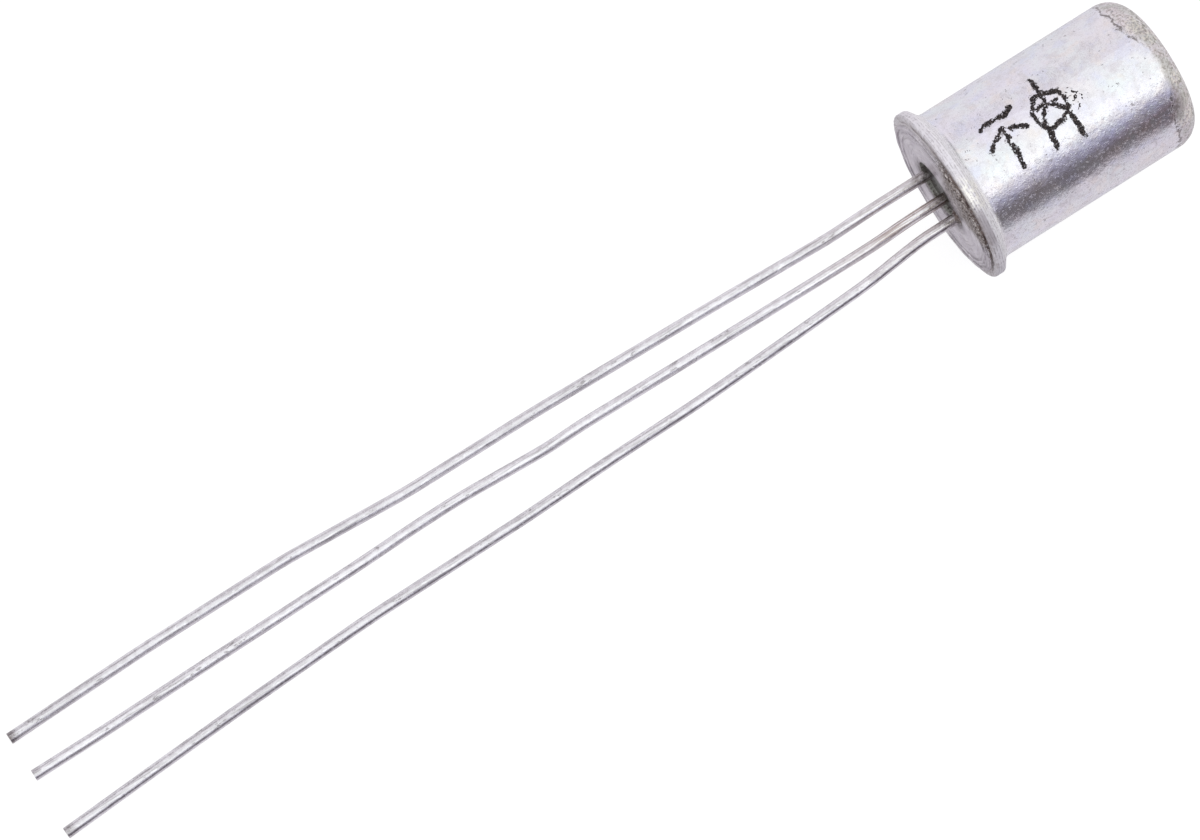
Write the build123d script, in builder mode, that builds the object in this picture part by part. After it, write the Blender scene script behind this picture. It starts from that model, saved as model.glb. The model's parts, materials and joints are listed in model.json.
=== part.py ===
from build123d import *
import os
from math import asin, atan2, cos, degrees, hypot, pi, radians, sin, tan

# Germanium alloy-junction transistor: a flanged round metal can, a stem disc with a
# glass seal, three wire leads, and the small crystal assembly sealed inside.
# Sizes are in millimetres. The transistor lies at rest on its flange and its lead tips,
# with the can toward +X, the leads toward -X and their row along Y.

# Can
can_height = 9.40  # from the underside of the header to the flat top
can_radius = 3.00
can_wall = 0.25
corner_radius = 1.00  # outer rounding between the side and the top
flange_width = 0.43  # how far the flange stands out from the can's side
flange_thickness = 0.36  # at its outer edge
flange_edge = 0.08  # rounding of that edge, above and below
flare_angle = 36.0  # slope of the flare above the flange, from the flat
flare_fillet = 0.35

# Header, the metal disc that closes the can
header_inset = 0.32  # from the flange's edge in to the edge of the header's disc
header_thickness = 0.10
header_edge = 0.05
boss_clearance = 0.06  # between the raised boss and the inside of the can
boss_height = 0.80  # above the header's disc
boss_edge = 0.12

# Glass seal
seal_radius = 1.14
seal_offset = 0.42  # the hole lies off centre, toward the emitter
seal_recess = 0.20  # depth of the glass below the header's underside
seal_rim = 0.06  # rounding of the hole's lower edge

# Leads
lead_radius = 0.215
lead_length = 38.74  # outside the header, for the longest lead
emitter_row = 1.115  # places along the row, from the can's axis
collector_row = -0.035
weld_land = 0.01  # metal left between the hole and the welded base lead
emitter_trim = 0.06  # how much shorter than the longest lead
collector_trim = 0.11
bend_reach = 0.70  # how far each side of a bend the wire is curved
bend_share = 0.45  # the most of a straight run that one bend takes

# Where each lead bends, as a share of its length, and how far sideways it then is
emitter_bends = [(0.067, 0.0), (0.107, -0.065), (0.232, 0.10), (0.429, 0.295),
                 (0.571, 0.30), (0.700, 0.59), (0.854, 0.555), (1.0, 0.375)]
collector_bends = [(0.039, 0.0), (0.076, -0.09), (0.134, -0.085), (0.243, -0.045),
                   (0.405, 0.04), (0.438, -0.02), (0.532, 0.148), (0.576, 0.135),
                   (0.648, 0.035), (0.813, -0.075), (0.932, -0.17), (1.0, -0.18)]
base_bends = [(0.039, 0.0), (0.106, -0.325), (0.235, -0.605), (0.302, -0.735),
              (0.390, -0.795), (0.493, -0.94), (0.661, -1.02), (0.803, -1.295),
              (0.909, -1.56), (1.0, -1.80)]

# Crystal assembly
wafer_radius = 0.95
wafer_thickness = 0.15
wafer_height = 3.15  # its centre, from the header's underside
tab_thickness = 0.10
tab_hole_radius = 0.55
tab_margin = 0.30  # nickel left around the wafer
tab_foot_gap = 0.20  # from the glass to the tab's foot
tab_foot_width = 0.80
tab_sole = 0.50
emitter_dot_radius = 0.30
emitter_dot_height = 0.13
emitter_dot_edge = 0.10
collector_dot_radius = 0.45
collector_dot_height = 0.24
collector_dot_edge = 0.16
whisker_radius = 0.05
whisker_bend = 0.15
whisker_rise = 0.85  # from the top of each post up to the wafer's centre

flange_radius = can_radius + flange_width
header_radius = flange_radius - header_inset
post_height = wafer_height - whisker_rise

# Rest pose: one floor line touches the flange's edge and the tip of the longest lead
edge_height = header_thickness + flange_edge
edge_centre_radius = flange_radius - flange_edge
lead_drop = edge_centre_radius - lead_radius
lead_reach = lead_length + edge_height
rest_tilt = atan2(lead_drop, lead_reach) + asin(flange_edge / hypot(lead_drop, lead_reach))
axis_height = edge_centre_radius * cos(rest_tilt) + flange_edge - edge_height * sin(rest_tilt)
top_reach = (can_height - corner_radius) * cos(rest_tilt)
top_reach += (can_radius - corner_radius) * sin(rest_tilt) + corner_radius
tip_reach = lead_length * cos(rest_tilt) + lead_radius * sin(rest_tilt)
header_place = (tip_reach - top_reach) / 2

can_direction = Vector(cos(rest_tilt), 0, sin(rest_tilt))
upward = Vector(-sin(rest_tilt), 0, cos(rest_tilt))
row_direction = Vector(0, 1, 0)
header_centre = Vector(header_place, 0, axis_height)
can_axis = Axis(header_centre, can_direction)

# Plane across the can, with X along the row of leads
stem_plane = Plane(header_centre, x_dir=row_direction, z_dir=can_direction)
# Plane of the row and the can's axis, with Y toward the can's top
section_plane = Plane(header_centre, x_dir=row_direction, z_dir=-upward)
# Upright plane through the can's axis, with Y toward the can's top
upright_plane = Plane(header_centre, x_dir=upward, z_dir=row_direction)

boss_top = header_thickness + boss_height
can_bore = can_radius - can_wall
base_row = seal_offset - seal_radius - weld_land - lead_radius
tab_row = (emitter_row + collector_row - tab_thickness) / 2


def corner(sketch, x, y):
    """The vertex of a sketch that lies at a place in its plane."""
    return sketch.vertices().sort_by_distance((x, y, 0))[0]


def lead_route(row, start, bends, length):
    """Points of a lead's centre line, from its inner end to its tip."""
    return [(row, start)] + [(row + shift, -share * length) for share, shift in bends]


def bend_radii(points):
    """One radius for each bend, so that its arc takes the same stretch of wire each side."""
    radii = []
    for before, here, after in zip(points, points[1:], points[2:]):
        first = Vector(*here) - Vector(*before)
        second = Vector(*after) - Vector(*here)
        stretch = min(bend_reach, bend_share * first.length, bend_share * second.length)
        radii.append(stretch / tan(radians(first.get_angle(second)) / 2))
    return radii


def make_wire(name, points, radii, radius):
    """A round wire along straight runs joined by tangent arcs."""
    with BuildPart() as wire:
        with BuildLine(section_plane) as route:
            FilletPolyline(*points, radius=radii)
        with BuildSketch(Plane(route.line @ 0, z_dir=route.line % 0)):
            Circle(radius)
        sweep()
    wire.part.label = name
    length = sum(edge.length for edge in route.edges())
    print(name, "length", round(length, 2), "smallest radius", round(min(radii), 2),
          "volume against section times length", round(wire.part.volume, 3),
          round(pi * radius**2 * length, 3))
    return wire


def make_lead(name, row, start, bends, length):
    points = lead_route(row, start, bends, length)
    return make_wire(name, points, bend_radii(points), lead_radius)


# Can: one drawn cap with its flange
flare_height = (flange_radius - can_radius) * tan(radians(flare_angle))
edge_top = header_thickness + flange_thickness
flare_top = edge_top + flare_height
inner_top = can_height - can_wall

with BuildPart() as can:
    with BuildSketch(upright_plane) as can_section:
        with BuildLine():
            Polyline(
                (0, can_height),
                (can_radius, can_height),
                (can_radius, flare_top),
                (flange_radius, edge_top),
                (flange_radius, header_thickness),
                (can_bore, header_thickness),
                (can_bore, inner_top),
                (0, inner_top),
                close=True,
            )
        make_face()
        fillet(corner(can_section, can_radius, can_height), corner_radius)
        fillet(corner(can_section, can_bore, inner_top), corner_radius - can_wall)
        fillet(corner(can_section, can_radius, flare_top), flare_fillet)
        fillet(corner(can_section, flange_radius, edge_top), flange_edge)
        fillet(corner(can_section, flange_radius, header_thickness), flange_edge)
    revolve(axis=can_axis)
can.part.label = "can"

# Header: stem disc with a raised boss and an off-centre hole
boss_radius = can_bore - boss_clearance

with BuildPart() as header:
    with BuildSketch(upright_plane) as header_section:
        with BuildLine():
            Polyline(
                (0, 0),
                (header_radius, 0),
                (header_radius, header_thickness),
                (boss_radius, header_thickness),
                (boss_radius, boss_top),
                (0, boss_top),
                close=True,
            )
        make_face()
        fillet(corner(header_section, header_radius, 0), header_edge)
        fillet(corner(header_section, boss_radius, boss_top), boss_edge)
    revolve(axis=can_axis)
    with BuildSketch(stem_plane):
        with Locations((seal_offset, 0)):
            Circle(seal_radius)
    extrude(amount=boss_top, mode=Mode.SUBTRACT)
    hole_edges = header.edges().filter_by(lambda e: e.geom_type == GeomType.CIRCLE)
    hole_edges = hole_edges.filter_by(lambda e: abs(e.radius - seal_radius) < 1e-6)
    fillet(hole_edges.sort_by(can_axis)[0], seal_rim)
header.part.label = "header"

# Glass seal: fills the hole around the two leads
with BuildPart() as glass_seal:
    with BuildSketch(stem_plane.offset(seal_recess)):
        with Locations((seal_offset, 0)):
            Circle(seal_radius)
        with Locations((emitter_row, 0), (collector_row, 0)):
            Circle(lead_radius, mode=Mode.SUBTRACT)
    extrude(amount=boss_top - seal_recess)
glass_seal.part.label = "glass_seal"

# Leads: two pass through the glass and stand up inside as posts, one is welded below
emitter_lead = make_lead("emitter_lead", emitter_row, post_height, emitter_bends,
                         lead_length - emitter_trim)
collector_lead = make_lead("collector_lead", collector_row, post_height, collector_bends,
                           lead_length - collector_trim)
base_lead = make_lead("base_lead", base_row, 0, base_bends, lead_length)

# Base tab: an upright nickel plate beside the glass, with a welded sole
tab_plane = Plane(header_centre + row_direction * tab_row, x_dir=upward, z_dir=row_direction)
tab_reach = wafer_radius + tab_margin
foot_start = seal_radius + tab_foot_gap
foot_end = foot_start + tab_foot_width

with BuildPart() as base_tab:
    with BuildSketch(tab_plane):
        with BuildLine():
            Polyline(
                (foot_start, boss_top),
                (foot_end, boss_top),
                (foot_end, wafer_height + tab_reach),
                (-tab_reach, wafer_height + tab_reach),
                (-tab_reach, wafer_height - tab_reach + tab_margin),
                (foot_start, wafer_height - tab_reach + tab_margin),
                close=True,
            )
        make_face()
        with Locations((0, wafer_height)):
            Circle(tab_hole_radius, mode=Mode.SUBTRACT)
    extrude(amount=tab_thickness)
    with BuildSketch(tab_plane):
        with Locations(((foot_start + foot_end) / 2, boss_top + tab_thickness / 2)):
            Rectangle(tab_foot_width, tab_thickness)
    extrude(amount=-tab_sole)
base_tab.part.label = "base_tab"

# Wafer: on the emitter's side of the tab, over its hole
wafer_face = tab_row + tab_thickness
wafer_centre = section_plane.from_local_coords((wafer_face, wafer_height, 0))
wafer_plane = Plane(wafer_centre, x_dir=upward, z_dir=row_direction)

with BuildPart() as germanium_wafer:
    with BuildSketch(wafer_plane):
        Circle(wafer_radius)
    extrude(amount=wafer_thickness)
germanium_wafer.part.label = "germanium_wafer"

# Indium dots: one each side of the wafer, domed toward their whiskers
with BuildPart() as emitter_dot:
    with BuildSketch(wafer_plane.offset(wafer_thickness)):
        Circle(emitter_dot_radius)
    extrude(amount=emitter_dot_height)
    fillet(emitter_dot.edges().sort_by(Axis.Y)[-1], emitter_dot_edge)
emitter_dot.part.label = "emitter_dot"

with BuildPart() as collector_dot:
    with BuildSketch(wafer_plane):
        Circle(collector_dot_radius)
    extrude(amount=-collector_dot_height)
    fillet(collector_dot.edges().sort_by(Axis.Y)[0], collector_dot_edge)
collector_dot.part.label = "collector_dot"

# Whiskers: fine nickel wires from the dots to the tops of the posts
emitter_tip = wafer_face + wafer_thickness + emitter_dot_height
collector_tip = wafer_face - collector_dot_height
emitter_whisker = make_wire(
    "emitter_whisker",
    [(emitter_tip, wafer_height), (emitter_row, wafer_height), (emitter_row, post_height)],
    [whisker_bend],
    whisker_radius,
)
collector_whisker = make_wire(
    "collector_whisker",
    [(collector_tip, wafer_height), (collector_row, wafer_height), (collector_row, post_height)],
    [whisker_bend],
    whisker_radius,
)

print("rest tilt", round(degrees(rest_tilt), 3), "header centre", header_centre)

os.makedirs("parts", exist_ok=True)
export_step(can.part, "parts/can.step")
export_step(header.part, "parts/header.step")
export_step(glass_seal.part, "parts/glass_seal.step")
export_step(emitter_lead.part, "parts/emitter_lead.step")
export_step(collector_lead.part, "parts/collector_lead.step")
export_step(base_lead.part, "parts/base_lead.step")
export_step(base_tab.part, "parts/base_tab.step")
export_step(germanium_wafer.part, "parts/germanium_wafer.step")
export_step(emitter_dot.part, "parts/emitter_dot.step")
export_step(collector_dot.part, "parts/collector_dot.step")
export_step(emitter_whisker.part, "parts/emitter_whisker.step")
export_step(collector_whisker.part, "parts/collector_whisker.step")
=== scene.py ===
import json
from math import asin, cos, pi, radians, sin

import bmesh
import bpy
from mathutils import Euler, Matrix, Vector, noise


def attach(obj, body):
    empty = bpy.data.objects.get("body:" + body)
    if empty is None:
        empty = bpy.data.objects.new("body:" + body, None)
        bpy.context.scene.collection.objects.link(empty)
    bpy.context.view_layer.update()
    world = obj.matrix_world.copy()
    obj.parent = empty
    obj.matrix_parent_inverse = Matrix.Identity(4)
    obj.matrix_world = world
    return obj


# Looks of a small metal-can transistor that lies on its flange and its lead tips.
# Lengths are in metres, and in millimetres inside the materials and in names with MM.

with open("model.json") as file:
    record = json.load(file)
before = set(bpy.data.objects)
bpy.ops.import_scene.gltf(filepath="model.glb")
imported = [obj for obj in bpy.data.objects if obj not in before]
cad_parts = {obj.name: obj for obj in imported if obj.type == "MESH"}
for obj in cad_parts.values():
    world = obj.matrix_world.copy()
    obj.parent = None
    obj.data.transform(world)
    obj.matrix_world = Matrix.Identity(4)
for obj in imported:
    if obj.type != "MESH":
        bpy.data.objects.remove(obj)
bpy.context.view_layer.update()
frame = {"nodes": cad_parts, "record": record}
nodes = frame["nodes"]
mounts = {mount["name"]: mount for mount in frame["record"]["mounts"]}

MM = 0.001
UM = 0.000001
MM_PER_METRE = 1000.0

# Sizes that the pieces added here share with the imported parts
CAN_HEIGHT = 9.40 * MM
CAN_RADIUS_MM = 3.00
HEADER_RADIUS = 3.11 * MM
HEADER_THICKNESS = 0.10 * MM
SEAL_RECESS = 0.20 * MM
LEAD_RADIUS = 0.215 * MM
EMITTER_ROW = 1.115 * MM
COLLECTOR_ROW = -0.035 * MM
BASE_ROW = -0.945 * MM

can_direction = Vector(mounts["can_top"]["axis"])
can_top = Vector(mounts["can_top"]["pos_m"])
header_centre = can_top - can_direction * CAN_HEIGHT
rest_tilt = asin(can_direction.z)
row_direction = Vector((0, 1, 0))
upward = Vector((-sin(rest_tilt), 0, cos(rest_tilt)))

# Camera: where the photograph's lens stood, and the pixel of the header's centre in it
IMAGE_WIDTH = 1200
IMAGE_HEIGHT = 840
CAMERA_ELEVATION = radians(64.402)
CAMERA_AZIMUTH = radians(25.302)
CAMERA_ROLL = radians(-7.159)
CAMERA_DISTANCE = 0.20444
FOCAL_PIXELS = 5657.7
HEADER_PIXEL = (942.63, 198.32)
SENSOR_WIDTH = 36.0
CLIP_START = 0.01
CLIP_END = 10


def make_camera():
    forward = Vector((sin(CAMERA_AZIMUTH) * cos(CAMERA_ELEVATION),
                      cos(CAMERA_AZIMUTH) * cos(CAMERA_ELEVATION),
                      -sin(CAMERA_ELEVATION)))
    level = Vector((cos(CAMERA_AZIMUTH), -sin(CAMERA_AZIMUTH), 0))
    above = level.cross(forward)
    right = level * cos(CAMERA_ROLL) + above * sin(CAMERA_ROLL)
    up = above * cos(CAMERA_ROLL) - level * sin(CAMERA_ROLL)
    pixel = CAMERA_DISTANCE / FOCAL_PIXELS
    aside = (HEADER_PIXEL[0] - IMAGE_WIDTH / 2) * pixel
    below = (HEADER_PIXEL[1] - IMAGE_HEIGHT / 2) * pixel
    data = bpy.data.cameras.new("camera")
    data.sensor_width = SENSOR_WIDTH
    data.lens = FOCAL_PIXELS * SENSOR_WIDTH / IMAGE_WIDTH
    data.clip_start = CLIP_START
    data.clip_end = CLIP_END
    camera = bpy.data.objects.new("camera", data)
    place = header_centre - forward * CAMERA_DISTANCE - right * aside + up * below
    turn = Matrix((right, up, -forward)).transposed()
    camera.matrix_world = Matrix.Translation(place) @ turn.to_4x4()
    bpy.context.scene.collection.objects.link(camera)
    bpy.context.scene.camera = camera


class Graph:
    """Builds a node tree in few words. Sockets or plain numbers can be given as inputs."""

    def __init__(self, tree):
        self.tree = tree
        tree.nodes.clear()

    def node(self, kind, inputs=(), **settings):
        made = self.tree.nodes.new(kind)
        for name, value in settings.items():
            setattr(made, name, value)
        for name, value in dict(inputs).items():
            self.feed(made.inputs[name], value)
        return made

    def feed(self, socket, value):
        if isinstance(value, bpy.types.NodeSocket):
            self.tree.links.new(value, socket)
        else:
            socket.default_value = value

    def math(self, operation, *values, clamp=False):
        made = self.tree.nodes.new("ShaderNodeMath")
        made.operation = operation
        made.use_clamp = clamp
        for socket, value in zip(made.inputs, values):
            self.feed(socket, value)
        return made.outputs[0]

    def chain(self, operation, first, others):
        for other in others:
            first = self.math(operation, first, other)
        return first

    def times(self, first, *others):
        return self.chain("MULTIPLY", first, others)

    def plus(self, first, *others):
        return self.chain("ADD", first, others)

    def least(self, first, *others):
        return self.chain("MINIMUM", first, others)

    def most(self, first, *others):
        return self.chain("MAXIMUM", first, others)

    def minus(self, value, taken):
        return self.math("SUBTRACT", value, taken)

    def distance(self, value, centre):
        return self.math("ABSOLUTE", self.minus(value, centre))

    def vector(self, operation, *values, scale=None):
        made = self.tree.nodes.new("ShaderNodeVectorMath")
        made.operation = operation
        for socket, value in zip(made.inputs, values):
            self.feed(socket, value)
        if scale is not None:
            self.feed(made.inputs["Scale"], scale)
        single = operation in ("LENGTH", "DOT_PRODUCT")
        return made.outputs["Value" if single else "Vector"]

    def span(self, value, low, high, to_low=0.0, to_high=1.0, smooth=True):
        """Takes the value from one range to another, and holds it at the ends."""
        kind = "SMOOTHSTEP" if smooth else "LINEAR"
        made = self.node("ShaderNodeMapRange", {
            "Value": value, "From Min": low, "From Max": high,
            "To Min": to_low, "To Max": to_high}, interpolation_type=kind)
        return made.outputs["Result"]

    def sway(self, value, low, high, reach):
        """Takes low to -reach and high to reach, in a straight line."""
        return self.span(value, low, high, -reach, reach, smooth=False)

    def around(self, value, centre, outer, inner):
        """1 at less than inner from the centre, and 0 from outer on."""
        return self.span(self.distance(value, centre), outer, inner)

    def noise(self, place, scale, detail=3.0, roughness=0.55, shift=None, stretch=None):
        if shift:
            place = self.vector("ADD", place, shift)
        if stretch:
            place = self.vector("MULTIPLY", place, stretch)
        made = self.node("ShaderNodeTexNoise", {
            "Vector": place, "Scale": scale, "Detail": detail, "Roughness": roughness})
        return made.outputs["Fac"]

    def cells(self, place, scale):
        """Distance to the nearest scattered point, and a random number for that point."""
        made = self.node("ShaderNodeTexVoronoi", {"Vector": place, "Scale": scale})
        split = self.node("ShaderNodeSeparateColor", {"Color": made.outputs["Color"]})
        return made.outputs["Distance"], split.outputs[0]

    def colour(self, amount, low, high):
        """Mixes two colours. Each one is a socket, or red, green and blue."""
        made = self.node("ShaderNodeMix", data_type="RGBA")
        self.feed(made.inputs[0], amount)
        for socket, shade in ((made.inputs[6], low), (made.inputs[7], high)):
            self.feed(socket, shade if hasattr(shade, "links") else (*shade, 1.0))
        return made.outputs[2]

    def paint(self, tint, shade, *amounts):
        """Lays a shade over the tint, as strongly as the product of the amounts."""
        return self.colour(self.times(*amounts), tint, shade)

    def ramp(self, value, stops):
        made = self.node("ShaderNodeValToRGB", {"Fac": value})
        elements = made.color_ramp.elements
        while len(elements) < len(stops):
            elements.new(0.5)
        for element, (place, shade) in zip(elements, stops):
            element.position = place
            element.color = (*shade, 1.0)
        return made.outputs["Color"]

    def split(self, place):
        made = self.node("ShaderNodeSeparateXYZ", {"Vector": place})
        return made.outputs[0], made.outputs[1], made.outputs[2]

    def join(self, x, y, z):
        return self.node("ShaderNodeCombineXYZ", {"X": x, "Y": y, "Z": z}).outputs[0]

    def bump(self, heights):
        """Stacks bumps, given as pairs of height and depth in micrometres, into one normal."""
        normal = None
        for height, depth in heights:
            made = self.node("ShaderNodeBump", {"Height": height, "Strength": 1.0,
                                                "Distance": depth * UM})
            if normal is not None:
                self.feed(made.inputs["Normal"], normal)
            normal = made.outputs["Normal"]
        return normal


def can_frame(graph):
    """Place in millimetres: X from the header toward the can's top, Y along the row, Z up."""
    turn = Euler((0, rest_tilt, 0))
    shift = turn.to_matrix() @ header_centre * -MM_PER_METRE
    coordinates = graph.node("ShaderNodeTexCoord").outputs["Object"]
    made = graph.node("ShaderNodeMapping", {
        "Vector": coordinates, "Location": tuple(shift), "Rotation": tuple(turn),
        "Scale": (MM_PER_METRE,) * 3}, vector_type="POINT")
    return made.outputs["Vector"]


def polar(graph, place):
    """Height along the can's axis, distance from it, and angle from the top toward -Y."""
    height, row, above = graph.split(place)
    radius = graph.vector("LENGTH", graph.join(0.0, row, above))
    angle = graph.math("ARCTAN2", graph.times(row, -1.0), above)
    return height, radius, angle


# Sectors round the can's axis, in degrees from the top toward -Y: the middle, and how far
# from it the sector ends and is full
SECTORS = {
    # Of these, the first is the upper side where the highlight falls, and the third holds a painted
    # highlight on the flange
    "highlight_side": (-18, 60, 44), "edge": (26, 42, 10), "shiny_highlight": (31, 17, 7), "lip": (38, 42, 22),
    # All four here lie on the can's dark reflected band, and place painted reflection
    "blue": (50, 10, 3), "painted edge reflection": (52, 15, 5), "shade": (55, 19, 8), "brown": (58, 12, 4),
    "far band": (-51, 19, 9),
}


def sector(graph, angle, name):
    middle, end, full = (radians(degrees) for degrees in SECTORS[name])
    return graph.around(angle, middle, end, full)


def new_material(name):
    material = bpy.data.materials.new(name)
    material.use_nodes = True
    return material, Graph(material.node_tree)


def surface(graph, inputs):
    shader = graph.node("ShaderNodeBsdfPrincipled", inputs)
    graph.node("ShaderNodeOutputMaterial", {"Surface": shader.outputs["BSDF"]})


# Ink marks: a ring with strokes, and an arrow with a bar. Where each one lies on the can,
# its ring's radius, and its strokes' ends round the can and along it, in millimetres.
SYMBOL_HEIGHT = 4.50
SYMBOL_ANGLE = radians(10.6)
SYMBOL = (SYMBOL_HEIGHT, SYMBOL_ANGLE, 0.66, [
    ((-1.36, 0.02), (-0.24, 0.0)), ((-0.24, -0.40), (-0.24, 0.40)),
    ((-0.22, 0.14), (0.42, 0.50)), ((-0.22, -0.14), (0.42, -0.50)),
    ((0.42, 0.50), (1.30, 0.53)), ((0.42, -0.50), (1.22, -0.54))])
ARROW = (2.55, radians(14.8), None, [
    ((-0.62, 0.10), (1.06, 0.02)), ((-0.62, 0.10), (0.02, 0.92)),
    ((-0.62, 0.10), (-0.10, -0.74)), ((-1.02, -0.60), (-1.00, 0.78))])
HALF_STROKE = 0.105
STROKE_EDGE = 0.010

# Flecks of ink: where they lie from the symbol's middle, round the can and toward its top,
# and how far they reach
FLECKS_ASIDE = 0.08
FLECKS_ABOVE = 1.02
FLECKS_REACH = 0.62
FLECKS_CORE = 0.15


def stroke_distance(graph, place, start, end):
    run = Vector(end) - Vector(start)
    offset = graph.vector("SUBTRACT", place, (*start, 0.0))
    share = graph.math("DIVIDE", graph.vector("DOT_PRODUCT", offset, (*run, 0.0)),
                       run.length_squared, clamp=True)
    along = graph.vector("SCALE", (*run, 0.0), scale=share)
    return graph.vector("LENGTH", graph.vector("SUBTRACT", offset, along))


def mark_distance(graph, place, ring, strokes):
    distances = [stroke_distance(graph, place, start, end) for start, end in strokes]
    if ring is not None:
        distances.append(graph.distance(graph.vector("LENGTH", place), ring))
    return graph.least(*distances)


def ink_mask(graph, place, height, radius, angle):
    """1 where ink is left on the can: ragged strokes, worn through and broken in places."""
    ragged = graph.noise(place, 8.0, detail=5.0, roughness=0.75)
    wear = graph.noise(place, 2.1, detail=4.0, roughness=0.65)
    worn = graph.noise(place, 13.0, detail=3.0, roughness=0.65)
    drift = graph.noise(place, 1.1, detail=1.0)
    drift_across = graph.sway(drift, 0.2, 0.8, 0.22)
    drift_along = graph.sway(wear, 0.2, 0.8, 0.10)
    distances = []
    for mark_height, mark_angle, ring, strokes in (SYMBOL, ARROW):
        across = graph.times(graph.minus(angle, mark_angle), CAN_RADIUS_MM)
        spot = graph.join(graph.plus(across, drift_across),
                          graph.plus(graph.minus(height, mark_height), drift_along), 0.0)
        distances.append(mark_distance(graph, spot, ring, strokes))
    distance = graph.plus(
        graph.least(*distances), graph.sway(ragged, 0.3, 0.7, 0.060),
        graph.span(wear, 0.46, 0.70, 0.0, 0.085), graph.span(worn, 0.54, 0.70, 0.0, 0.10))
    ink = graph.span(distance, HALF_STROKE + STROKE_EDGE, HALF_STROKE - STROKE_EDGE)

    across = graph.times(graph.minus(angle, SYMBOL_ANGLE), CAN_RADIUS_MM)
    beside = graph.join(graph.minus(across, FLECKS_ASIDE),
                        graph.minus(height, SYMBOL_HEIGHT + FLECKS_ABOVE), 0.0)
    close = graph.span(graph.vector("LENGTH", beside), FLECKS_REACH, FLECKS_CORE)
    fleck = graph.noise(place, 8.0, detail=2.0, roughness=0.5)
    fleck = graph.plus(fleck, graph.times(close, 0.13))
    flecks = graph.times(graph.span(fleck, 0.705, 0.725), graph.span(close, 0.0, 0.2))
    on_side = graph.span(radius, CAN_RADIUS_MM - 0.05, CAN_RADIUS_MM - 0.02)
    return graph.times(graph.most(ink, flecks), on_side)


CAN_SHADES = {
    "lilac": (0.845, 0.835, 0.900), "warm": (0.885, 0.868, 0.872),
    "green": (0.855, 0.895, 0.900), "cloud": (0.745, 0.728, 0.745),
    "blue": (0.76, 0.79, 0.92), "sand": (0.90, 0.84, 0.79),
    "mottle": (0.645, 0.62, 0.63), "speckle": (0.49, 0.465, 0.475),
    "grain": (0.55, 0.52, 0.53), "sparkle": (0.97, 0.965, 0.97),
    # Painted tints of the can's dark reflected band
    "painted reflection blue": (0.68, 0.69, 0.95), "painted reflection brown": (0.74, 0.60, 0.57),
    # The first colour here is painted dark reflection on the top edge
    "painted edge reflection": (0.40, 0.345, 0.365), "pit": (0.27, 0.25, 0.26),
    "olive": (0.62, 0.61, 0.565), "pink": (0.78, 0.70, 0.70), "cream": (0.88, 0.82, 0.68),
    "dirt": (0.36, 0.33, 0.30), "spot": (0.24, 0.23, 0.20), "pale": (0.93, 0.92, 0.91),
    "line": (0.24, 0.215, 0.21),
    # The last colour here is a painted highlight
    "flange": (0.900, 0.875, 0.905), "flare": (0.97, 0.955, 0.97), "shiny_highlight": (0.98, 0.96, 0.90),
    # The first colour here is painted dark reflection
    "shade": (0.50, 0.46, 0.48), "grime": (0.42, 0.38, 0.38), "ring": (0.36, 0.33, 0.34),
    "foot": (0.36, 0.31, 0.29),
    "ink": (0.012, 0.009, 0.010), "worn ink": (0.17, 0.14, 0.13),
}

# Heights at which the stained top edge starts, and how much farther up that is in its middle
EDGE_HEIGHT_LOW = 8.12
EDGE_HEIGHT_HIGH = 8.40
EDGE_ARCH = 0.36
# Distance from the axis of the dark spots on the rounded top edge
OUTER_SPOTS_RADIUS = 2.66
# Ring lines on the flange: radians of their wave for a millimetre of height, and its waver
RING_WAVE = 62.0
RING_WAVER = 7.0


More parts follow.
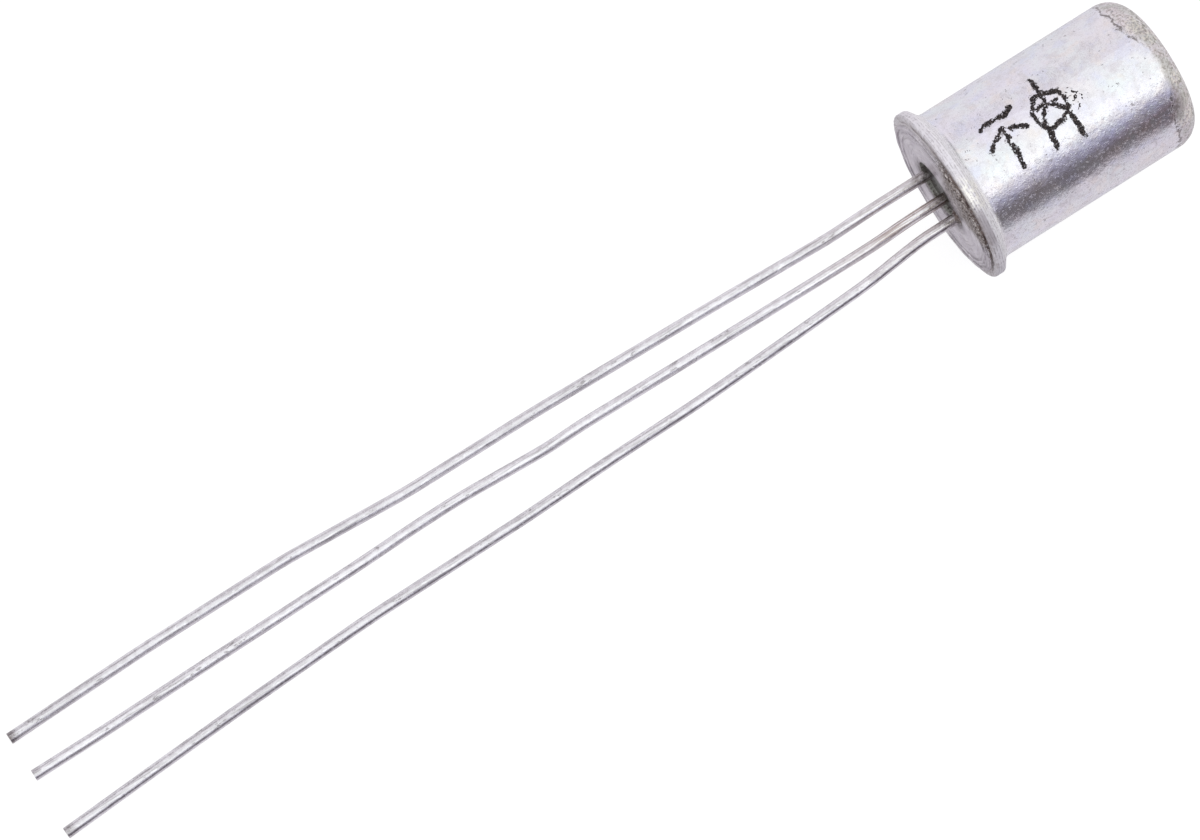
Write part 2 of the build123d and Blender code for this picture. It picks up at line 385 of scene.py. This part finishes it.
def can_material():
    """Drawn metal: cloudy and pitted, with a stained top edge, a dull flange and ink marks; painted
    light gives a lighter upper side, a highlight on the flange, and a dark reflected band with its
    tints.
    """
    material, graph = new_material("can_metal")
    place = can_frame(graph)
    height, radius, angle = polar(graph, place)

    broad = graph.noise(place, 0.55, detail=3.0)
    patch = graph.noise(place, 0.9, detail=4.0, shift=(31.0, 7.0, 3.0))
    cool = graph.noise(place, 1.5, detail=4.0, shift=(11.0, 40.0, 6.0))
    cloud = graph.noise(place, 1.9, detail=6.0, roughness=0.68)
    mottle = graph.noise(place, 4.4, detail=5.0, roughness=0.72)
    speckle = graph.noise(place, 10.0, detail=5.0, roughness=0.75)
    grain = graph.noise(place, 22.0, detail=3.0, roughness=0.7)
    lengthways = graph.noise(place, 1.6, detail=6.0, roughness=0.7, stretch=(0.35, 9.0, 9.0))
    crossways = graph.noise(place, 1.3, detail=5.0, roughness=0.7, stretch=(16.0, 0.5, 0.5))

    # The upper side, where the highlight falls, has fewer dents, and fewer dark specks as painted
    # highlight; small dents sparkle here and there
    texture_off_highlight = graph.minus(1.0, graph.times(sector(graph, angle, "highlight_side"), 0.60))
    dent = graph.noise(place, 9.0, detail=2.5, roughness=0.6, shift=(3.0, 8.0, 71.0))
    dents = graph.times(graph.span(dent, 0.56, 0.68), texture_off_highlight)

    # Pits: small and uneven, in loose swarms
    swarm = graph.noise(place, 1.2, detail=2.0, shift=(5.0, 60.0, 2.0))
    pit = graph.noise(place, 6.2, detail=3.0, roughness=0.62, shift=(90.0, 4.0, 9.0))
    pit = graph.plus(pit, graph.span(swarm, 0.35, 0.70, -0.05, 0.05))
    pits = graph.span(pit, 0.672, 0.712)

    # The rounded top edge starts at an uneven dark line, farther up in the middle
    arch = sector(graph, angle, "edge")
    begin = graph.span(cloud, 0.3, 0.7, EDGE_HEIGHT_LOW, EDGE_HEIGHT_HIGH, smooth=False)
    begin = graph.plus(begin, graph.times(arch, EDGE_ARCH))
    top_edge = graph.span(graph.minus(height, begin), -0.04, 0.22)
    corner = graph.times(top_edge, graph.span(
        graph.plus(radius, graph.times(cloud, 1.2)), 2.1, 2.7, 0.15, 1.0))
    line = graph.times(graph.around(height, begin, 0.060, 0.02),
                       graph.span(mottle, 0.38, 0.50), graph.span(arch, 1.0, 0.5))
    outer_spots = graph.times(graph.around(radius, OUTER_SPOTS_RADIUS, 0.16, 0.05), corner,
                              graph.span(mottle, 0.53, 0.60))

    # The flange is dull, with ring lines left by the closing tool
    flange = graph.span(radius, 3.02, 3.16)
    wave = graph.plus(graph.times(height, RING_WAVE), graph.times(cloud, RING_WAVER))
    rings = graph.times(graph.span(graph.math("SINE", wave), 0.45, 0.95), flange,
                        graph.span(mottle, 0.40, 0.58))
    # A smoother, more metallic patch on the flange, with a cream painted highlight where the lamp's
    # highlight falls
    shiny_highlight = graph.times(sector(graph, angle, "shiny_highlight"), flange, graph.span(mottle, 0.62, 0.44))
    # Painted dark reflection: the flange's part nearest the header darkened where the can's dark
    # reflected band falls
    shade = graph.times(sector(graph, angle, "shade"), flange, graph.span(height, 0.42, 0.34))
    low_side = graph.span(angle, radians(25), radians(60))
    foot_height = graph.plus(graph.times(low_side, 0.08), 0.17)
    foot = graph.times(graph.span(height, foot_height, 0.06), flange)

    # Layers of colour, each over those before it: the side, the top edge, then the flange
    shades = dict(CAN_SHADES, edge=graph.colour(
        graph.span(cool, 0.44, 0.56), CAN_SHADES["olive"], CAN_SHADES["pink"]))
    tint = graph.colour(graph.span(broad, 0.38, 0.62), shades["lilac"], shades["warm"])
    layers = [
        ("green", [graph.span(patch, 0.42, 0.66)]),
        ("cloud", [graph.span(cloud, 0.46, 0.66, 0.0, 0.80)]),
        ("blue", [graph.span(cool, 0.54, 0.68, 0.0, 0.55)]),
        ("sand", [graph.span(cool, 0.46, 0.33, 0.0, 0.55)]),
        # Mottle, speckle and grain fade on the upper side, as painted highlight
        ("mottle", [graph.span(mottle, 0.52, 0.68, 0.0, 0.75), texture_off_highlight]),
        ("speckle", [graph.span(speckle, 0.54, 0.68, 0.0, 0.85), texture_off_highlight]),
        ("grain", [graph.span(grain, 0.54, 0.70, 0.0, 0.50), texture_off_highlight]),
        ("sparkle", [graph.span(grain, 0.46, 0.32, 0.0, 0.50)]),
        # Painted reflection: blue and brown casts in the dark band that the can reflects
        ("painted reflection blue", [sector(graph, angle, "blue"), graph.span(height, 2.5, 6.5, 0.3, 1.0),
                       graph.span(cloud, 0.42, 0.58, 0.05, 0.50)]),
        ("painted reflection brown", [sector(graph, angle, "brown"), graph.span(height, 4.5, 7.0),
                        graph.span(cloud, 0.44, 0.56, 0.15, 0.60)]),
        ("edge", [corner, graph.span(mottle, 0.36, 0.60, 0.35, 0.95)]),
        # Painted dark reflection: the can's dark reflected band carried on over the dull top edge
        ("painted edge reflection", [sector(graph, angle, "painted edge reflection"), top_edge,
                      graph.span(height, 9.05, 8.60), graph.span(mottle, 0.38, 0.56, 0.45, 0.95)]),
        ("cream", [graph.span(patch, 0.52, 0.60), graph.span(speckle, 0.52, 0.42), corner, 0.8]),
        ("dirt", [corner, graph.span(speckle, 0.48, 0.58),
                  graph.span(mottle, 0.40, 0.52, 0.30, 1.0), 0.85]),
        ("spot", [outer_spots, 0.75]),
        ("pale", [corner, graph.span(speckle, 0.45, 0.34), 0.8]),
        ("line", [line, 0.9]),
        ("flange", [flange, 0.85]),
        ("flare", [flange, graph.span(height, 0.36, 0.46), 0.8]),
        # Painted highlight on the flange
        ("shiny_highlight", [shiny_highlight]),
        # Painted dark reflection on the flange
        ("shade", [shade, 0.75]),
        ("grime", [flange, graph.span(speckle, 0.52, 0.68), 0.55]),
        ("ring", [rings, graph.plus(graph.times(low_side, 0.25), 0.45)]),
        ("foot", [foot, graph.span(mottle, 0.40, 0.60, 0.1, 0.8)]),
        ("pit", [pits, 0.75]),
    ]
    for name, amounts in layers:
        tint = graph.paint(tint, shades[name], *amounts)
    ink = ink_mask(graph, place, height, radius, angle)
    ink_tint = graph.colour(graph.span(grain, 0.50, 0.66), shades["ink"], shades["worn ink"])
    tint = graph.paint(tint, ink_tint, ink)

    rubbed = graph.most(graph.times(top_edge, 0.7), flange)
    roughness = graph.plus(
        graph.span(cloud, 0.3, 0.7, 0.14, 0.23), graph.span(speckle, 0.5, 0.72, 0.0, 0.16),
        graph.times(rubbed, 0.20), graph.times(shiny_highlight, -0.10), graph.times(ink, 0.25))
    dull = graph.most(graph.times(flange, graph.minus(0.78, graph.times(shiny_highlight, 0.55))),
                      graph.times(corner, 0.40), graph.times(ink, 0.35))
    normal = graph.bump([
        (broad, 60), (cloud, 17), (mottle, 7.5), (speckle, 3.6), (grain, 1.3),
        (lengthways, 0.9), (crossways, 0.8), (dents, 4),
        (graph.times(graph.most(pits, line), -1.0), 6), (graph.times(rings, -1.0), 9), (ink, 4)])
    surface(graph, {"Base Color": tint, "Metallic": graph.minus(1.0, dull),
                    "Roughness": roughness, "Normal": normal})
    return material


HEADER_SHADES = {
    "dark": (0.66, 0.635, 0.665), "light": (0.83, 0.805, 0.82),
    "dark arc": (0.50, 0.47, 0.485), "light arc": (0.88, 0.86, 0.88),
    "speckle": (0.42, 0.37, 0.36), "line": (0.085, 0.07, 0.075), "rim": (0.11, 0.085, 0.08),
    "lip": (0.43, 0.375, 0.345), "blot": (0.060, 0.042, 0.040), "bright": (0.88, 0.83, 0.80),
    "near": (0.225, 0.195, 0.205), "near blot": (0.07, 0.055, 0.055),
    "wall": (0.56, 0.57, 0.52), "wall blot": (0.20, 0.18, 0.165),
}
HEADER_SPECULAR_TINT = (0.82, 0.80, 0.83, 1.0)
# Dark lines on the header's face: radius and half width
HEADER_LINES = ((2.60, 0.040), (2.76, 0.022), (2.90, 0.030))
HEADER_LINE_EDGE = 0.022
# Shift that puts the stain round the leads in the middle, and its squeeze along the row
NEAR_SHIFT = (0.0, -0.20, 0.10)
NEAR_SQUEEZE = (1.0, 0.85, 1.0)


def header_material():
    """Stained stem disc: ring lines near its rim, brown round the leads, a dull hole wall."""
    material, graph = new_material("header_metal")
    place = can_frame(graph)
    height, radius, angle = polar(graph, place)
    cloud = graph.noise(place, 1.5, detail=5.0, roughness=0.6)
    mottle = graph.noise(place, 4.2, detail=5.0, roughness=0.7)
    speckle = graph.noise(place, 9.0, detail=6.0, roughness=0.75)
    swing = graph.join(graph.times(radius, 3.2), graph.times(angle, 0.8), 0.0)
    arcs = graph.noise(swing, 2.4, detail=5.0, roughness=0.65)
    uneven = graph.plus(radius, graph.sway(cloud, 0.3, 0.7, 0.05))
    front = graph.times(graph.span(angle, radians(-16), radians(22), 0.12, 1.0),
                        graph.span(angle, radians(88), radians(58), 0.25, 1.0))

    tint = graph.colour(graph.span(cloud, 0.35, 0.65),
                        HEADER_SHADES["dark"], HEADER_SHADES["light"])
    tint = graph.paint(tint, HEADER_SHADES["dark arc"], graph.span(arcs, 0.50, 0.66, 0.0, 0.70))
    tint = graph.paint(tint, HEADER_SHADES["light arc"], graph.span(arcs, 0.46, 0.34, 0.0, 0.60))
    tint = graph.paint(tint, HEADER_SHADES["speckle"], graph.span(speckle, 0.54, 0.68, 0.0, 0.70))

    # Dark ring lines, and stained metal from there to the rim
    stained = graph.times(graph.span(speckle, 0.54, 0.68), 0.5)
    for line_radius, width in HEADER_LINES:
        line = graph.times(graph.around(uneven, line_radius, width + HEADER_LINE_EDGE, width),
                           front, graph.span(mottle, 0.34, 0.50, 0.35, 1.0))
        tint = graph.paint(tint, HEADER_SHADES["line"], line)
        stained = graph.most(stained, line)
    rim = graph.times(graph.span(uneven, 2.72, 2.98), front,
                      graph.span(speckle, 0.42, 0.56, 0.25, 1.0))
    tint = graph.paint(tint, HEADER_SHADES["rim"], rim)
    lip = graph.times(graph.span(uneven, 1.0, 2.45, 0.30, 1.0), sector(graph, angle, "lip"),
                      graph.span(mottle, 0.36, 0.56, 0.40, 1.0))
    tint = graph.paint(tint, HEADER_SHADES["lip"], lip)
    tint = graph.paint(tint, HEADER_SHADES["blot"], lip, graph.span(speckle, 0.51, 0.57))
    tint = graph.paint(tint, HEADER_SHADES["bright"], lip, graph.span(speckle, 0.46, 0.40))

    # Darker and browner round the row of leads
    ellipse = graph.vector("MULTIPLY", graph.vector("ADD", place, NEAR_SHIFT), NEAR_SQUEEZE)
    near = graph.times(graph.span(graph.vector("LENGTH", ellipse), 1.55, 0.95),
                       graph.span(mottle, 0.34, 0.60, 0.55, 1.0))
    tint = graph.paint(tint, HEADER_SHADES["near"], near, 0.85)
    tint = graph.paint(tint, HEADER_SHADES["near blot"], near,
                       graph.span(speckle, 0.52, 0.64, 0.0, 0.9))
    stained = graph.most(stained, rim, graph.times(lip, 0.9), graph.times(near, 0.8))

    # Wall of the hole: dull grey-green
    wall = graph.times(graph.span(height, 0.012, 0.05), graph.span(radius, 2.7, 2.5))
    tint = graph.paint(tint, HEADER_SHADES["wall"], wall)
    tint = graph.paint(tint, HEADER_SHADES["wall blot"], wall, graph.span(mottle, 0.50, 0.62))
    dull = graph.most(graph.times(stained, graph.minus(1.0, wall)), graph.times(wall, 0.40))
    roughness = graph.plus(graph.span(cloud, 0.3, 0.7, 0.26, 0.38), graph.times(dull, 0.25))
    surface(graph, {
        "Base Color": tint, "Metallic": graph.span(dull, 0.0, 0.8, 0.90, 0.0, smooth=False),
        "Roughness": roughness, "Specular IOR Level": 0.0, "Specular Tint": HEADER_SPECULAR_TINT,
        "Normal": graph.bump([(cloud, 16), (mottle, 8), (speckle, 5), (arcs, 14)])})
    return material


GLASS_SHADES = {
    "dark": (0.040, 0.034, 0.031), "light": (0.105, 0.10, 0.088), "speck": (0.17, 0.17, 0.15),
}
GLASS_IOR = 1.55


def glass_material():
    """Dark glass with small bubbles."""
    material, graph = new_material("seal_glass")
    place = can_frame(graph)
    cloud = graph.noise(place, 2.2, detail=4.0)
    bubbles, chance = graph.cells(place, 6.0)
    specks = graph.times(graph.span(bubbles, 0.18, 0.08), graph.span(chance, 0.6, 0.7))
    tint = graph.colour(graph.span(cloud, 0.44, 0.62), GLASS_SHADES["dark"], GLASS_SHADES["light"])
    tint = graph.paint(tint, GLASS_SHADES["speck"], specks)
    surface(graph, {"Base Color": tint, "Roughness": graph.span(cloud, 0.3, 0.7, 0.25, 0.42),
                    "IOR": GLASS_IOR, "Normal": graph.bump([(cloud, 20), (specks, 6)])})
    return material


LEAD_SHADES = {
    "dark": (0.66, 0.65, 0.66), "light": (0.80, 0.80, 0.81), "dark streak": (0.44, 0.425, 0.425),
    "light streak": (0.97, 0.965, 0.97), "pit": (0.33, 0.31, 0.31), "spark": (0.97, 0.97, 0.98),
    "brown": (0.40, 0.305, 0.245), "root": (0.20, 0.165, 0.145), "cut": (0.20, 0.175, 0.165),
}
# Places along a lead, in millimetres from the header, which are negative outside the can
BROWN_START = -6.5
BROWN_FULL = -0.2
ROOT_START = -1.2
CUT_START = -38.2
CUT_FULL = -38.6
SMOOTHER_START = -14.0
SMOOTHER_FULL = -3.0


def lead_material(name, brown_strength, seed, tip_dark, gain):
    """Tinned wire: drawn streaks, uneven pits, bright specks, brown by the header."""
    material, graph = new_material(name)
    place = graph.vector("ADD", can_frame(graph), (seed, 0.0, 0.0))
    along = graph.minus(graph.split(place)[0], seed)
    streaks = graph.noise(place, 1.0, detail=5.0, roughness=0.65, stretch=(0.5, 14.0, 14.0))
    lumps = graph.noise(place, 3.4, detail=5.0, roughness=0.68)
    grain = graph.noise(place, 14.0, detail=4.0, roughness=0.7)
    swarm = graph.noise(place, 0.30, detail=3.0, shift=(7.0, 2.0, 5.0))
    dent = graph.noise(place, 1.0, detail=4.0, roughness=0.65, stretch=(3.0, 7.5, 7.5))
    dent = graph.plus(dent, graph.span(swarm, 0.38, 0.66, -0.07, 0.04))
    pits = graph.span(dent, 0.60, 0.68)
    sparks = graph.span(graph.minus(1.0, dent), 0.62, 0.72)

    dark, light = (tuple(part * gain for part in LEAD_SHADES[key]) for key in ("dark", "light"))
    tint = graph.colour(graph.span(lumps, 0.35, 0.65), dark, light)
    layers = [
        ("dark streak", [graph.span(streaks, 0.51, 0.66, 0.0, 0.75)]),
        ("light streak", [graph.span(streaks, 0.46, 0.34, 0.0, 0.75)]),
        ("pit", [pits, 0.65]),
        ("spark", [sparks, 0.8]),
        ("brown", [graph.span(along, BROWN_START, BROWN_FULL, 0.0, brown_strength),
                   graph.span(streaks, 0.38, 0.56, 0.10, 1.0)]),
        ("root", [graph.span(along, ROOT_START, 0.0, 0.0, 0.75),
                  graph.span(dent, 0.40, 0.58, 0.25, 1.0)]),
        ("cut", [graph.span(along, CUT_START, CUT_FULL, 0.0, tip_dark),
                 graph.span(grain, 0.40, 0.62, 0.45, 1.0)]),
    ]
    for shade_name, amounts in layers:
        tint = graph.paint(tint, LEAD_SHADES[shade_name], *amounts)

    roughness = graph.plus(graph.span(lumps, 0.3, 0.7, 0.18, 0.31),
                           graph.span(grain, 0.5, 0.75, 0.0, 0.12))
    roughness = graph.minus(roughness, graph.span(along, SMOOTHER_START, SMOOTHER_FULL, 0.0, 0.09))
    normal = graph.bump([(lumps, 14), (streaks, 6), (grain, 3), (graph.times(pits, -1.0), 6)])
    surface(graph, {"Base Color": tint, "Metallic": 1.0, "Roughness": roughness, "Normal": normal})
    return material


def plain_metal(name, dark, light, rough):
    """Metal of a piece inside the can: satin, with a slight grain and cloudiness."""
    material, graph = new_material(name)
    place = can_frame(graph)
    cloud = graph.noise(place, 3.0, detail=4.0)
    grain = graph.noise(place, 25.0, detail=3.0)
    surface(graph, {"Base Color": graph.colour(graph.span(cloud, 0.35, 0.65), dark, light),
                    "Metallic": 1.0,
                    "Roughness": graph.span(grain, 0.3, 0.7, rough - 0.06, rough + 0.08),
                    "Normal": graph.bump([(cloud, 6), (grain, 1.5)])})
    return material


SEAM_SHADES = {
    "dark": (0.095, 0.070, 0.064), "brown": (0.25, 0.20, 0.18), "clean": (0.72, 0.695, 0.70),
}


def seam_material():
    """Metal in the seam between header and flange, stained dark on one side."""
    material, graph = new_material("seam_metal")
    place = can_frame(graph)
    angle = polar(graph, place)[2]
    cloud = graph.noise(place, 2.4, detail=5.0, roughness=0.65)
    speckle = graph.noise(place, 10.0, detail=5.0, roughness=0.7)
    stain = graph.times(graph.span(angle, radians(-16), radians(14), 0.18, 1.0),
                        graph.span(angle, radians(115), radians(70), 0.35, 1.0),
                        graph.span(speckle, 0.66, 0.56, 0.15, 1.0))
    stained = graph.colour(graph.span(cloud, 0.38, 0.60), SEAM_SHADES["dark"], SEAM_SHADES["brown"])
    surface(graph, {"Base Color": graph.colour(stain, SEAM_SHADES["clean"], stained),
                    "Metallic": graph.span(stain, 0.2, 0.7, 0.85, 0.0),
                    "Roughness": graph.span(speckle, 0.3, 0.7, 0.50, 0.35),
                    "Specular IOR Level": 0.0,
                    "Normal": graph.bump([(cloud, 20), (speckle, 8)])})
    return material


def dress(material, *names):
    for name in names:
        materials = nodes[name].data.materials
        materials.clear()
        materials.append(material)


def lathe(name, centre, profile, segments, wobble=0.0, wobble_scale=1.0):
    """A solid of revolution about the can's direction. The profile's pairs are radius and
    height toward the can's top, in metres, as one closed loop."""
    mesh = bmesh.new()
    rings = []
    for step in range(segments):
        turn = 2 * pi * step / segments
        outward = row_direction * cos(turn) + upward * sin(turn)
        ring = []
        for radius, height in profile:
            point = centre + outward * radius + can_direction * height
            if wobble:
                sample = point * wobble_scale
                point += outward * wobble * noise.noise(sample)
                point += can_direction * wobble * noise.noise(sample + Vector((7.0, 3.0, 5.0)))
            ring.append(mesh.verts.new(point))
        rings.append(ring)
    count = len(profile)
    for first, second in zip(rings, rings[1:] + rings[:1]):
        for here in range(count):
            following = (here + 1) % count
            mesh.faces.new((first[here], first[following], second[following], second[here]))
    bmesh.ops.recalc_face_normals(mesh, faces=mesh.faces)
    data = bpy.data.meshes.new(name)
    mesh.to_mesh(data)
    mesh.free()
    data.shade_smooth()
    piece = bpy.data.objects.new(name, data)
    bpy.context.scene.collection.objects.link(piece)
    return piece


def finish_piece(piece, material):
    piece.data.materials.append(material)
    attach(piece, "root")


# How deep the added pieces are sunk into the parts that they sit on
ROOT_DEPTH = 0.03 * MM
WIRE_OVERLAP = 0.02 * MM


def round_loop(radius, height, size, count):
    """A small circle as a profile, for a bead."""
    turns = [2 * pi * step / count for step in range(count)]
    return [(radius + size * cos(turn), height + size * sin(turn)) for turn in turns]


def ridge_loop(low, high, proud):
    """A flat ridge below the header's disc, with its edges broken and its root buried."""
    edge = proud * 0.5
    return [(low, ROOT_DEPTH), (low, -proud + edge), (low + edge, -proud),
            (high - edge, -proud), (high, -proud + edge), (high, ROOT_DEPTH)]


def fillet_loop(inner, reach, rise, foot, steps=8):
    """A hollow-sided collar round a wire: wide at its foot, thin where it ends."""
    loop = []
    for step in range(steps + 1):
        turn = pi / 2 * step / steps
        loop.append((inner + reach * (1 - sin(turn)), foot - rise * (1 - cos(turn))))
    loop.append((inner - WIRE_OVERLAP, foot - rise))
    loop.append((inner - WIRE_OVERLAP, foot + ROOT_DEPTH))
    loop.append((inner + reach, foot + ROOT_DEPTH))
    return loop


RING_SEGMENTS = 360
COLLAR_SEGMENTS = 48

BEAD_RADIUS = HEADER_RADIUS + 0.01 * MM
BEAD_HEIGHT = HEADER_THICKNESS - 0.012 * MM
BEAD_SIZE = 0.055 * MM
BEAD_SIDES = 10
BEAD_WOBBLE = 0.045 * MM

RIDGES = (("header_ridge", 2.64 * MM, 2.80 * MM), ("header_rim_ridge", 2.92 * MM, 3.05 * MM))
RIDGE_PROUD = 0.035 * MM
RIDGE_WOBBLE = 0.02 * MM

WELD_REACH = 0.13 * MM
WELD_RISE = 0.14 * MM
WELD_WOBBLE = 0.03 * MM
MENISCUS_REACH = 0.10 * MM


def add_details(stem, glass):
    """A bead in the seam, two ring ridges, a weld collar, and two collars of glass."""
    seam = seam_material()
    bead = lathe("seam_bead", header_centre,
                 round_loop(BEAD_RADIUS, BEAD_HEIGHT, BEAD_SIZE, BEAD_SIDES), RING_SEGMENTS,
                 wobble=BEAD_WOBBLE, wobble_scale=2600.0)
    finish_piece(bead, seam)

    for name, low, high in RIDGES:
        ridge = lathe(name, header_centre, ridge_loop(low, high, RIDGE_PROUD), RING_SEGMENTS,
                      wobble=RIDGE_WOBBLE, wobble_scale=1500.0)
        finish_piece(ridge, stem)

    weld = lathe("base_weld", header_centre + row_direction * BASE_ROW,
                 fillet_loop(LEAD_RADIUS, WELD_REACH, WELD_RISE, 0.0), COLLAR_SEGMENTS,
                 wobble=WELD_WOBBLE, wobble_scale=4000.0)
    finish_piece(weld, seam)

    for name, row in (("emitter_meniscus", EMITTER_ROW), ("collector_meniscus", COLLECTOR_ROW)):
        loop = fillet_loop(LEAD_RADIUS, MENISCUS_REACH, MENISCUS_REACH, SEAL_RECESS)
        collar = lathe(name, header_centre + row_direction * row, loop, COLLAR_SEGMENTS)
        finish_piece(collar, glass)


# Studio light by direction: the angle, in degrees, goes from straight up toward -Y
STUDIO = [
    (-180, (0.65, 0.63, 0.665)),
    (-150, (0.70, 0.68, 0.715)),
    (-107, (0.735, 0.72, 0.77)),
    (-76, (0.79, 0.755, 0.80)),
    (-53, (0.80, 0.765, 0.81)),
    (-33, (0.775, 0.745, 0.79)),
    (-15, (0.85, 0.83, 0.875)),
    (-5, (0.935, 0.93, 0.96)),
    (11, (0.92, 0.93, 0.95)),
    (20, (0.96, 0.98, 1.0)),
    (30, (0.95, 0.965, 0.98)),
    (40, (0.885, 0.895, 0.905)),
    (50, (0.86, 0.855, 0.89)),
    (55, (0.745, 0.73, 0.80)),
    (61, (0.54, 0.525, 0.64)),
    (69, (0.375, 0.355, 0.445)),
    (78, (0.21, 0.195, 0.225)),
    (89, (0.132, 0.117, 0.120)),
    (99, (0.150, 0.138, 0.158)),
    (108, (0.20, 0.182, 0.212)),
    (112, (0.27, 0.248, 0.29)),
    (114, (0.63, 0.595, 0.66)),
    (124, (0.655, 0.62, 0.685)),
    (150, (0.69, 0.655, 0.71)),
]
STUDIO_STRENGTH = 1.12
# The studio's ends, toward +X and -X, and a second dark band that the can shows only from
# sides that the photograph doesn't
PLUS_END = (0.78, 0.77, 0.775)
MINUS_END = (0.72, 0.71, 0.74)
FAR_BAND = (0.19, 0.175, 0.20)
FAR_BAND_STRENGTH = 0.80


def make_world():
    """The studio as the object sees it, and plain white for the camera."""
    world = bpy.data.worlds.new("studio")
    world.use_nodes = True
    bpy.context.scene.world = world
    graph = Graph(world.node_tree)
    along, row, above = graph.split(graph.node("ShaderNodeTexCoord").outputs["Generated"])
    angle = graph.math("ARCTAN2", graph.times(row, -1.0), above)
    stops = [((degrees + 180) / 360, shade) for degrees, shade in STUDIO]
    light = graph.ramp(graph.span(angle, -pi, pi, smooth=False), stops)
    light = graph.paint(light, PLUS_END, graph.span(along, 0.55, 0.92))
    light = graph.paint(light, MINUS_END, graph.span(along, -0.55, -0.92))
    away = graph.most(graph.span(along, 0.06, -0.06), graph.span(along, 0.60, 0.70))
    light = graph.paint(light, FAR_BAND, away, sector(graph, angle, "far band"),
                        FAR_BAND_STRENGTH)
    studio = graph.node("ShaderNodeBackground", {"Color": light, "Strength": STUDIO_STRENGTH})
    white = graph.node("ShaderNodeBackground", {"Color": (1, 1, 1, 1), "Strength": 1.0})
    both = graph.node("ShaderNodeMixShader")
    graph.feed(both.inputs[0], graph.node("ShaderNodeLightPath").outputs["Is Camera Ray"])
    graph.feed(both.inputs[1], studio.outputs[0])
    graph.feed(both.inputs[2], white.outputs[0])
    graph.node("ShaderNodeOutputWorld", {"Surface": both.outputs[0]})


FLOOR_HALF = 0.6
FLOOR_SHADE = (0.26, 0.26, 0.26, 1.0)
FLOOR_GLOW = 0.86


def make_floor():
    """A white table. It glows a little to the camera, and takes the object's soft shadow."""
    corners = [(-FLOOR_HALF, -FLOOR_HALF, 0), (FLOOR_HALF, -FLOOR_HALF, 0),
               (FLOOR_HALF, FLOOR_HALF, 0), (-FLOOR_HALF, FLOOR_HALF, 0)]
    data = bpy.data.meshes.new("floor")
    data.from_pydata(corners, [], [(0, 1, 2, 3)])
    floor = bpy.data.objects.new("floor", data)
    bpy.context.scene.collection.objects.link(floor)
    floor.visible_glossy = False
    material, graph = new_material("white_table")
    path = graph.node("ShaderNodeLightPath")
    seen = graph.most(path.outputs["Is Camera Ray"], path.outputs["Is Transmission Ray"])
    diffuse = graph.node("ShaderNodeBsdfDiffuse", {"Color": FLOOR_SHADE})
    glow = graph.node("ShaderNodeEmission", {"Color": (1, 1, 1, 1),
                                             "Strength": graph.times(seen, FLOOR_GLOW)})
    total = graph.node("ShaderNodeAddShader")
    graph.feed(total.inputs[0], diffuse.outputs[0])
    graph.feed(total.inputs[1], glow.outputs[0])
    graph.node("ShaderNodeOutputMaterial", {"Surface": total.outputs[0]})
    data.materials.append(material)


LAMP_ANGLE = radians(42)
LAMP_ASIDE = 0.18
LAMP_DISTANCE = 0.30
LAMP_SIZE = (0.40, 0.10)
LAMP_RADIANCE = 0.26


def make_lamp():
    """One long softbox, above the can and on the camera's side."""
    data = bpy.data.lights.new("softbox", "AREA")
    data.shape = "RECTANGLE"
    data.size, data.size_y = LAMP_SIZE
    data.energy = LAMP_RADIANCE * pi * LAMP_SIZE[0] * LAMP_SIZE[1]
    lamp = bpy.data.objects.new("softbox", data)
    toward = Vector((LAMP_ASIDE, -sin(LAMP_ANGLE), cos(LAMP_ANGLE))).normalized()
    lamp.location = header_centre + toward * LAMP_DISTANCE
    lamp.rotation_euler = toward.to_track_quat("Z", "Y").to_euler()
    bpy.context.scene.collection.objects.link(lamp)


make_camera()
make_world()
make_floor()
make_lamp()

dress(can_material(), "can")
stem_metal = header_material()
dress(stem_metal, "header")
dark_glass = glass_material()
dress(dark_glass, "glass_seal")
dress(lead_material("emitter_wire", 0.34, 0.0, 0.95, 1.06), "emitter_lead")
dress(lead_material("collector_wire", 0.85, 40.0, 0.35, 1.15), "collector_lead")
dress(lead_material("base_wire", 0.30, 80.0, 0.70, 1.06), "base_lead")
dress(plain_metal("nickel", (0.58, 0.55, 0.50), (0.68, 0.65, 0.60), 0.32),
      "base_tab", "emitter_whisker", "collector_whisker")
dress(plain_metal("germanium", (0.30, 0.31, 0.33), (0.40, 0.41, 0.43), 0.40), "germanium_wafer")
dress(plain_metal("indium", (0.66, 0.67, 0.69), (0.78, 0.79, 0.81), 0.35),
      "emitter_dot", "collector_dot")
add_details(stem_metal, dark_glass)

bpy.context.scene.view_settings.view_transform = "Standard"
